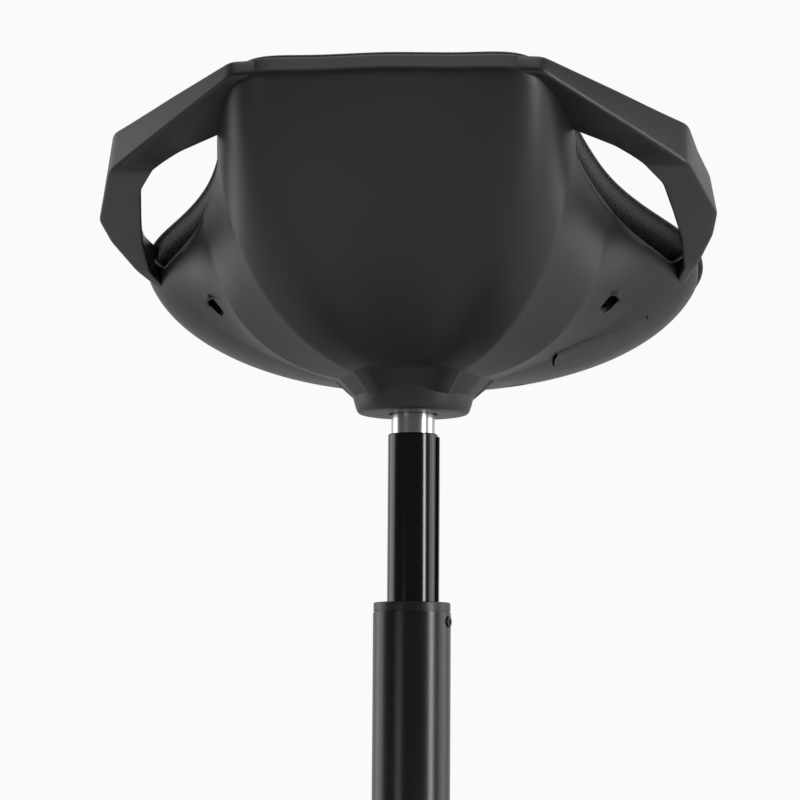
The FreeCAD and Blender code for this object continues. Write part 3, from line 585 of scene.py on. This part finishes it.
@dataclass
class Bowl:
    """Bowl of the seat shell with its hub and rim band, in millimetres.

    Band_start is the share of the wall at which the cubic ends and the rim band begins.
    """

    outline: SeatOutline = field(default_factory=SeatOutline)
    hub_bottom: float = 510.0
    hub_hole: float = 15.9
    hub_bottom_radius: float = 36.2
    hub_top_radius: float = 42.0
    hub_depth: float = 22.0
    hub_overlap: float = 2.2
    hub_floor: float = 4.0
    wall: float = 4.0
    rim_band: float = 12.0
    edge_round: float = 1.6
    grip_drop: float = 22.0
    rows: int = 64
    band_start: float = 0.92

    def shares(self, heading: np.ndarray) -> np.ndarray:
        """Bezier shares of the profile for each heading, which is -1 at the rear and 1 at the front."""
        keys = np.array([-1.0, -0.75, -0.4, 0.05, 1.0])
        values = np.array([
            (0.36, 0.20, 0.76, 0.55), (0.49, 0.08, 0.96, 0.38), (0.54, 0.04, 0.99, 0.28),
            (0.42, 0.14, 0.88, 0.50), (0.35, 0.06, 0.85, 0.42)])
        return np.stack([np.interp(heading, keys, column) for column in values.T])

    def outer(self, along: np.ndarray, ring: np.ndarray) -> np.ndarray:
        """Outer face of the wall.

        Up to band_start it is a cubic Bezier from the hub's circle to the lower edge of the rim
        band; the rest is the band itself, straight up to the rim plane.

        Args:
            along: shares of the wall, rows by places, 0 at the hub and 1 at the rim.
            ring: outline in the rim plane in metres.

        Returns:
            Points in metres, rows by places by 3.
        """
        end = on_rim(ring[:, 0], ring[:, 1], np.full(len(ring), -self.rim_band * MM))
        reach = np.hypot(end[:, 0], end[:, 1])
        first = np.stack([end[:, 0] / reach, end[:, 1] / reach, np.zeros_like(reach)], axis=1)
        first *= (self.hub_top_radius - self.hub_overlap) * MM
        first[:, 2] = (self.hub_bottom + self.hub_depth - self.hub_overlap) * MM
        out_1, up_1, out_2, up_2 = self.shares(end[:, 1] / reach)
        t = np.clip(along / self.band_start, 0.0, 1.0)
        b, c, d = 3.0 * t * (1.0 - t) ** 2, 3.0 * t ** 2 * (1.0 - t), t ** 3
        out = b * out_1 + c * out_2 + d
        up = b * up_1 + c * up_2 + d
        share = np.stack([out, out, up], axis=-1)
        band = np.clip((along - self.band_start) / (1.0 - self.band_start), 0.0, 1.0) * self.rim_band * MM
        lift = np.array([0.0, math.sin(SEAT_TILT), math.cos(SEAT_TILT)])
        return first + (end - first) * share + band[..., None] * lift

    def level(self, points: np.ndarray) -> np.ndarray:
        """Height of points over the rim plane in metres."""
        over = points[..., 2] - RIM_CENTRE_Z
        return points[..., 1] * math.sin(SEAT_TILT) + over * math.cos(SEAT_TILT)

    def surface(self) -> np.ndarray:
        """Work out the whole wall as one closed grid.

        The rim dips beside the two grips: there the wall's share is cut by halving steps at the level
        the dip asks for. Rows run from the hub's hole out and up the outer face, over the rounded rim
        and down the inner face back to the hole.

        Returns:
            Rows by places by 3 in metres, closed both ways.
        """
        ring, normal = self.outline.ring()
        v = ring[:, 1] / MM
        beside = smooth_step(v, -128.0, -112.0) * (1.0 - smooth_step(v, 14.0, 36.0))
        top = -self.grip_drop * MM * beside
        low, high = np.zeros(len(ring)), np.ones(len(ring))
        for _ in range(22):
            middle = 0.5 * (low + high)
            below = self.level(self.outer(middle[None, :], ring))[0] < top
            low, high = np.where(below, middle, low), np.where(below, high, middle)
        reach = 0.5 * (low + high)
        along = np.linspace(0.07, 1.0, self.rows)[:, None] * reach[None, :]
        wall = self.outer(along, ring)
        inwards = on_rim(-normal[:, 0], -normal[:, 1], np.zeros(len(normal))) - on_rim(0.0, 0.0, 0.0)
        lift = np.array([0.0, math.sin(SEAT_TILT), math.cos(SEAT_TILT)])
        edge = wall[-1]
        r, wide = self.edge_round * MM, self.wall * MM
        lip = np.stack([
            edge + inwards * a * MM - lift * b * MM for a, b in (
                (0.12, 0.95), (0.5, 0.4), (1.1, 0.08), (1.6, 0.0),
                (2.4, 0.0), (2.9, 0.08), (3.5, 0.4), (3.88, 0.95))])
        wall[-1] = edge - lift * r
        down = np.linspace(0.0, 1.0, 26)[:, None]
        inner = self.outer((0.985 - 0.865 * down) * reach[None, :], ring)
        inner = inner + inwards * wide + np.array([0.0, 0.0, 0.9 * wide]) * down[..., None]
        heading = np.arctan2(wall[0][:, 1], wall[0][:, 0])
        turn = np.stack([np.cos(heading), np.sin(heading)], axis=1)
        slope = (self.hub_top_radius - self.hub_bottom_radius) / self.hub_depth
        foot = self.hub_bottom_radius
        # Radius and height over the hub's underside: hole, flat underside, rounded foot, cone.
        hub = [
            (self.hub_hole, self.hub_floor), (self.hub_hole, 0.5), (self.hub_hole + 0.5, 0.0),
            (foot - 2.6, 0.0), (foot - 1.3, 0.35), (foot - 0.35, 1.1), (foot + 0.35, 2.3),
            (foot + slope * 6.0, 6.0), (foot + slope * 11.0, 11.0), (foot + slope * 15.0, 15.0),
            (foot + slope * 18.0 + 0.3, 18.0), (foot + slope * 20.0 + 1.0, 20.2)]
        hub.append((foot - self.wall, self.hub_floor))
        rows = np.stack([
            np.insert(turn * radius * MM, 2, (self.hub_bottom + height) * MM, axis=1) for radius, height in hub])
        return np.concatenate([rows[:-1], wall, lip, inner, rows[-1:]])


@dataclass
class GripWing:
    """One grip: a bar with four faces carried round the finger hole, in millimetres in the rim plane."""

    side: float
    round_mm: float = 3.2
    draft: float = 8.0
    flare: float = 5.0
    tuck: float = 9.0
    stations: int = 150
    corner_mm: float = 4.5

    def surface(self) -> np.ndarray:
        """Work out the bar.

        Outer and inner edges are polylines with matched corners, softened by a moving average along
        the bar; at each station four corners of the section are each rounded by a quadratic arc.

        Returns:
            Stations by section points by 3 in metres.
        """
        # Each row is outer x, outer v, inner x, inner v, underside level, and draft, flare and tuck shares.
        knots = np.array([
            (62.0, -187.0, 62.0, -150.0, -12.0, 0.0, 0.0, 0.0),
            (94.0, -184.5, 98.0, -128.0, -12.0, 0.0, 0.0, 0.0),
            (137.0, -146.5, 137.0, -115.0, -21.0, 0.5, 0.0, 0.0),
            (180.5, -108.0, 159.0, -109.0, -30.0, 1.0, 0.2, 0.0),
            (188.5, -80.0, 170.5, -86.0, -30.0, 1.0, 0.8, 0.0),
            (197.0, -50.0, 176.5, -50.0, -30.0, 1.0, 1.0, 0.0),
            (194.0, -24.0, 180.5, -22.0, -30.0, 1.0, 1.0, 0.0),
            (187.5, 12.0, 181.0, 14.0, -30.0, 0.9, 0.5, 0.4),
            (184.0, 34.0, 172.0, 36.0, -27.0, 0.4, 0.0, 0.8),
            (181.0, 58.0, 160.0, 58.0, -22.0, 0.0, 0.0, 1.0)])
        run = np.linalg.norm(np.diff(knots[:, :2], axis=0), axis=1)
        places = np.concatenate([[0.0], np.cumsum(run)])
        even = np.linspace(0.0, places[-1], self.stations)
        path = np.stack([np.interp(even, places, column) for column in knots.T], axis=1)
        half = max(1, int(self.corner_mm / (even[1] - even[0]) + 0.5))
        window = np.hanning(2 * half + 3)[1:-1]
        window /= window.sum()
        padded = np.concatenate([np.repeat(path[:1], half, 0), path, np.repeat(path[-1:], half, 0)])
        path = np.stack([np.convolve(column, window, mode="valid") for column in padded.T], axis=1)
        outer, inner, under = path[:, :2], path[:, 2:4], path[:, 4]
        drafted = path[:, 5:6] * self.draft * under[:, None] / 30.0
        outwards = np.array([1.0, 0.0])
        corners = [
            (outer - outwards * self.flare * path[:, 6:7], np.zeros_like(under)),
            (outer - outwards * self.tuck * path[:, 7:8], under),
            (inner + outwards * drafted, under),
            (inner, np.zeros_like(under))]
        quad = np.stack(
            [on_rim(self.side * flat[:, 0] * MM, flat[:, 1] * MM, w * MM) for flat, w in corners], axis=1)
        before = np.roll(quad, 1, axis=1) - quad
        after = np.roll(quad, -1, axis=1) - quad
        before_long = np.linalg.norm(before, axis=-1, keepdims=True)
        after_long = np.linalg.norm(after, axis=-1, keepdims=True)
        r = self.round_mm * MM
        a = quad + before / before_long * np.minimum(r, 0.45 * before_long)
        b = quad + after / after_long * np.minimum(r, 0.45 * after_long)
        arc = np.linspace(0.0, 1.0, 6)[None, None, :, None]
        from_corner = 2 * arc * (1 - arc) * quad[:, :, None]
        rounded = (1 - arc) ** 2 * a[:, :, None] + from_corner + arc ** 2 * b[:, :, None]
        return rounded.reshape(len(path), -1, 3)


@dataclass
class MouldedShell:
    """Seat shell: bowl, two grips, the paddle's opening and the wells of the four screws."""

    paddle_centre: tuple[float, float] = (121.5, 12.0)
    paddle_radius: float = 32.2
    paddle_turn: float = math.radians(24.0)
    paddle_gap: float = 1.2
    # Across, along and level over the rim plane of the seats of the rear and the front screws.
    screw_places: tuple[tuple[float, float, float], ...] = ((127.0, 8.0, -50.0), (62.0, 96.0, -58.0))
    well_radius: float = 6.0
    well_wall: float = 2.0
    screw_hole: float = 2.6
    crease: float = math.radians(38.0)
    body: str = "seat"
    slot: str = "black_shell"

    def half_moon(self) -> np.ndarray:
        """Upright prism with the paddle's outline, its straight side towards the rear.

        Returns:
            Two rings of the outline, in metres.
        """
        turns = np.linspace(0.0, math.pi, 60) + self.paddle_turn
        centre = np.array(self.paddle_centre)
        moon = centre + self.paddle_radius * np.stack([np.cos(turns), np.sin(turns)], axis=1)
        back = np.array([math.sin(self.paddle_turn), -math.cos(self.paddle_turn)]) * self.paddle_gap
        moon[0] += back
        moon[-1] += back
        return np.stack([np.insert(moon * MM, 2, level, axis=1) for level in (0.5, 0.598)])

    def rod(self, x: float, v: float, radii: list[float], levels: list[float]) -> np.ndarray:
        """Round form square to the rim plane, turned from radii and levels over the plane, in metres."""
        turns = np.linspace(0.0, 2.0 * math.pi, 49)[:-1]
        radius, level = np.array(radii)[:, None], np.array(levels)[:, None]
        return on_rim((x + radius * np.cos(turns)) * MM, (v + radius * np.sin(turns)) * MM, level * MM)

    def build(self, nylon: bpy.types.Material) -> bpy.types.Object:
        """Make the shell and put it in the CAD moulding's place.

        Args:
            nylon: material of the moulding.

        Returns:
            The shell's object.
        """
        bowl = island("seat_shell_skin", [(Bowl().surface(), True)])
        places = [(side * x, v, w) for x, v, w in self.screw_places for side in (-1.0, 1.0)]
        bores = [self.rod(x, v, [self.well_radius] * 2, [-120.0, w]) for x, v, w in places]
        cutter = island("openings", [(self.half_moon(), False)] + [(bore, False) for bore in bores])
        cut = bowl.modifiers.new("openings", "BOOLEAN")
        cut.operation = "DIFFERENCE"
        cut.solver = "EXACT"
        cut.object = cutter
        bake_modifiers(bowl)
        bpy.data.objects.remove(cutter)
        r, wide, hole = self.well_radius, self.well_radius + self.well_wall, self.screw_hole
        radii = [hole, r - 0.4, r, r, wide, wide, hole]
        drops = np.array([0.0, 0.0, -0.4, -7.0, -7.0, 3.0, 3.0])
        wells = [(self.rod(x, v, radii, (w + drops).tolist()), True) for x, v, w in places]
        extras = island("extras", [(GripWing(side).surface(), False) for side in (-1.0, 1.0)] + wells)
        join_into(bowl, extras)
        bowl.data.materials.clear()
        bowl.data.materials.append(nylon)
        split = bowl.modifiers.new("creases", "EDGE_SPLIT")
        split.split_angle = self.crease
        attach(bowl, self.body)
        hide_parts("seat_shell")
        log.info("seat_shell_skin: %d faces", len(bowl.data.polygons))
        return bowl


def join_into(piece: bpy.types.Object, other: bpy.types.Object) -> None:
    """Add another object's mesh to a piece's mesh and remove the other object.

    Args:
        piece: object that keeps its name.
        other: object whose mesh is added.
    """
    shape = bmesh.new()
    shape.from_mesh(piece.data)
    shape.from_mesh(other.data)
    shape.to_mesh(piece.data)
    shape.free()
    piece.data.polygons.foreach_set("use_smooth", np.ones(len(piece.data.polygons), bool))
    bpy.data.objects.remove(other)


@dataclass
class FrameFinishes:
    """Which finish each carried-over CAD node takes, by its material slot."""

    by_slot: dict = field(default_factory=lambda: {
        "black_shell": SHELL_NYLON,
        "black_cover_plastic": COVER_NYLON,
        "board_plastic": BOARD_PLASTIC,
        "screw_steel": OXIDE_STEEL,
        "zinc_steel": ZINC_PLATE,
        "ground_steel": GROUND_STEEL,
        "gloss_black": SLEEVE_GLOSS,
        "guide_plastic": GUIDE_ACETAL,
        "satin_black_paint": TUBE_POWDER,
        "cast_iron": IRON_CASTING,
        "rubber": FOOT_RUBBER,
    })
    crease: float = math.radians(32.0)
    weld: float = 0.01 * MM
    replaced: tuple[str, ...] = ("seat_shell", "cushion_foam", "cushion_cover")

    def build(self, frame: dict) -> dict[str, bpy.types.Material]:
        """Dress every CAD node and shade its curved faces smoothly.


        Returns:
            The materials by slot.
        """
        made = {slot: finish.build() for slot, finish in self.by_slot.items()}
        slots = {part["node"]: part["material_slot"] for part in frame["record"]["subparts"]}
        for name, node in frame["nodes"].items():
            slot = slots[name]
            if slot not in made or name in self.replaced:
                continue
            node.data.materials.clear()
            node.data.materials.append(made[slot])
            node.data.polygons.foreach_set("use_smooth", np.ones(len(node.data.polygons), bool))
            weld = node.modifiers.new("weld", "WELD")
            weld.merge_threshold = self.weld
            split = node.modifiers.new("creases", "EDGE_SPLIT")
            split.split_angle = self.crease
            log.info("%s: %s", name, made[slot].name)
        return made


@dataclass
class Studio:
    """Pale floor, soft boxes and camera; the surroundings are bright ahead of the sitter, dark behind."""

    floor_radius: float = 3.0
    camera_distance: float = 1.963
    camera_height: float = 0.295
    heading: float = math.radians(5.96)
    pan: float = math.radians(-0.25)
    pitch: float = math.radians(6.52)
    roll: float = math.radians(0.38)
    lens: float = 137.52
    surround_behind: float = 0.12
    surround_ahead: float = 0.75
    floor_glow: float = 0.3
    seat_height: float = 0.55

    def camera(self) -> None:
        """Set the camera: level heading, then pan, pitch and roll about its own axes."""
        data = bpy.data.cameras.new("camera")
        data.lens = self.lens
        data.sensor_width = 36.0
        data.clip_end = 50.0
        eye = bpy.data.objects.new("camera", data)
        bpy.context.scene.collection.objects.link(eye)
        h, p = self.heading, self.pan
        ahead = Vector((-math.sin(h), math.cos(h), 0.0))
        side = Vector((math.cos(h), math.sin(h), 0.0))
        forward = ahead * math.cos(p) + side * math.sin(p)
        right = side * math.cos(p) - ahead * math.sin(p)
        up = Vector((0.0, 0.0, 1.0))
        aim = forward * math.cos(self.pitch) + up * math.sin(self.pitch)
        top = up * math.cos(self.pitch) - forward * math.sin(self.pitch)
        level = right * math.cos(self.roll) + top * math.sin(self.roll)
        raised = top * math.cos(self.roll) - right * math.sin(self.roll)
        far = self.camera_distance
        place = Vector((far * math.sin(h), -far * math.cos(h), self.camera_height))
        turn = Matrix((level, raised, -aim)).transposed().to_4x4()
        eye.matrix_world = Matrix.Translation(place) @ turn
        bpy.context.scene.camera = eye

    def softbox(
            self, name: str, bearing: float, height: float, distance: float, size: tuple[float, float],
            radiance: float) -> None:
        """Hang one soft box round the seat.

        Args:
            name: name of the lamp.
            bearing: degrees clockwise from the rear, seen from above, so 90 is the sitter's left.
            height: metres over the floor.
            distance: metres from the column's axis.
            size: width and height of the box in metres.
            radiance: how bright its face is, where 1 shows as white.
        """
        data = bpy.data.lights.new(name, "AREA")
        data.shape = "RECTANGLE"
        data.size, data.size_y = size
        data.energy = radiance * math.pi * size[0] * size[1]
        lamp = bpy.data.objects.new(name, data)
        bpy.context.scene.collection.objects.link(lamp)
        angle = math.radians(bearing)
        lamp.location = (-distance * math.sin(angle), -distance * math.cos(angle), height)
        to_seat = Vector((0.0, 0.0, self.seat_height)) - lamp.location
        lamp.rotation_mode = "QUATERNION"
        lamp.rotation_quaternion = to_seat.to_track_quat("-Z", "Y")

    def lamps(self) -> None:
        """Place the soft boxes: a narrow one behind right, a wide one left, one above and one low."""
        self.softbox("strip_right", -66.0, 0.75, 2.2, (0.42, 1.9), 12.0)
        self.softbox("wide_left", 104.0, 0.7, 2.0, (1.3, 1.9), 1.7)
        self.softbox("wide_right", -110.0, 0.8, 2.2, (1.3, 1.9), 1.6)
        self.softbox("overhead", 0.0, 2.6, 0.6, (1.8, 1.8), 2.0)
        self.softbox("low_rear_left", 32.0, 0.25, 2.3, (0.7, 0.5), 1.6)

    def surroundings(self) -> None:
        """White surroundings to the camera; as light they are bright ahead of the sitter and dark behind."""
        world = bpy.data.worlds.new("studio")
        bpy.context.scene.world = world
        world.use_nodes = True
        tree = world.node_tree
        tree.nodes.clear()
        path = add_node(tree, "ShaderNodeLightPath")
        seen = add_node(
            tree, "ShaderNodeMath",
            {0: path.outputs["Is Camera Ray"], 1: path.outputs["Is Transmission Ray"]}, operation="MAXIMUM")
        way = add_node(tree, "ShaderNodeTexCoord").outputs["Generated"]
        ahead = add_node(tree, "ShaderNodeSeparateXYZ", {"Vector": way}).outputs["Y"]
        glow = add_node(
            tree, "ShaderNodeMapRange", {"Value": ahead}, interpolation_type="SMOOTHSTEP",
            inputs={"From Min": -0.5, "From Max": 0.75,
                    "To Min": self.surround_behind, "To Max": self.surround_ahead})
        light = add_node(
            tree, "ShaderNodeBackground", {"Strength": glow.outputs["Result"]},
            inputs={"Color": linear("f4f5f7")})
        white = add_node(tree, "ShaderNodeBackground", inputs={"Color": linear("fafafa"), "Strength": 1.0})
        mixed = add_node(
            tree, "ShaderNodeMixShader",
            {0: seen.outputs[0], 1: light.outputs["Background"], 2: white.outputs["Background"]})
        add_node(tree, "ShaderNodeOutputWorld", {"Surface": mixed.outputs["Shader"]})

    def floor(self) -> None:
        """Lay a pale round floor that fades into the surroundings at its edge."""
        turns = np.linspace(0.0, 2.0 * math.pi, 97)[:-1]
        rings = np.linspace(self.floor_radius, 0.01, 24)
        plane = np.stack(
            [rings[:, None] * np.cos(turns), rings[:, None] * np.sin(turns), np.zeros((24, 96))], axis=-1)
        piece = grid_mesh("floor", plane, cap_ends=False)
        material = bpy.data.materials.new("matt_pale_floor")
        material.use_nodes = True
        tree = material.node_tree
        tree.nodes.clear()
        place = add_node(tree, "ShaderNodeTexCoord").outputs["Object"]
        reach = add_node(tree, "ShaderNodeVectorMath", {0: place}, operation="LENGTH").outputs["Value"]
        fade = add_node(
            tree, "ShaderNodeMapRange", {"Value": reach}, interpolation_type="SMOOTHSTEP",
            inputs={"From Min": 1.1, "From Max": self.floor_radius - 0.3, "To Min": 0.0, "To Max": 1.0})
        matt = add_node(
            tree, "ShaderNodeBsdfPrincipled", inputs={"Base Color": linear("e9e9ea"), "Roughness": 0.7})
        seen = add_node(tree, "ShaderNodeLightPath").outputs["Is Camera Ray"]
        glow = add_node(
            tree, "ShaderNodeMapRange", {"Value": seen}, inputs={"To Min": self.floor_glow, "To Max": 1.0})
        white = add_node(
            tree, "ShaderNodeEmission", {"Strength": glow.outputs["Result"]},
            inputs={"Color": linear("fafafa")})
        mixed = add_node(
            tree, "ShaderNodeMixShader",
            {0: fade.outputs["Result"], 1: matt.outputs["BSDF"], 2: white.outputs["Emission"]})
        add_node(tree, "ShaderNodeOutputMaterial", {"Surface": mixed.outputs["Shader"]})
        piece.data.materials.append(material)

    def build(self) -> None:
        """Set the camera, the surroundings, the floor and the lamps."""
        bpy.context.scene.view_settings.view_transform = "Standard"
        self.camera()
        self.surroundings()
        self.floor()
        self.lamps()
        log.info("studio: camera and %d lamps", len(bpy.data.lights))


def main() -> None:
    """Load the frame, dress it, add the modelled pieces and set the studio."""
    for thing in list(bpy.data.objects):
        bpy.data.objects.remove(thing)
    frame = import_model()
    made = FrameFinishes().build(frame)
    MouldedShell().build(made["black_shell"])
    Cushion().build(WovenFabric().build())
    Studio().build()


if __name__ == "__main__":
    logging.basicConfig(level=logging.INFO, format="%(message)s")
    main()
